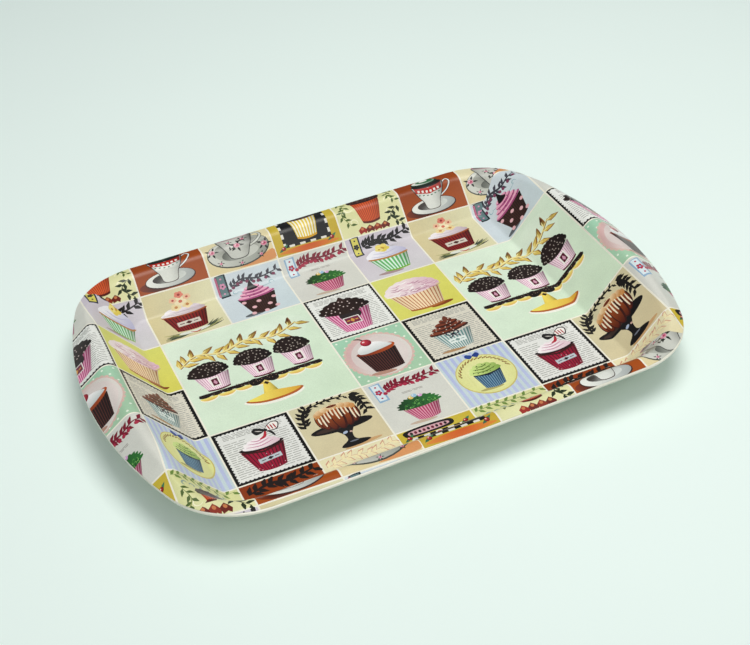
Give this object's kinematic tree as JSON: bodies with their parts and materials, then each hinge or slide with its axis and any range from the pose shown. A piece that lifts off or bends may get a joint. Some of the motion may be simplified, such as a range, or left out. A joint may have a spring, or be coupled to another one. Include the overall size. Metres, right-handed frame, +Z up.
{
  "type": "serving tray",
  "caption": "Moulded rectangular serving tray with sloped walls, an all-over printed foil and bowed, down-rolled handle ends.",
  "frame": {"origin": "centre of the footprint, on the surface that the tray stands on", "axes": "+X along the tray towards one handle end, +Y across it, +Z up"},
  "size_m": [0.4508, 0.31, 0.0485],
  "materials": {
    "melamine": "smooth satin gloss, moulded",
    "print": "printed pattern under a glossy resin surface"
  },
  "bodies": {
    "root": {"tray_body": "melamine", "printed_foil": "print"}
  },
  "joints": []
}
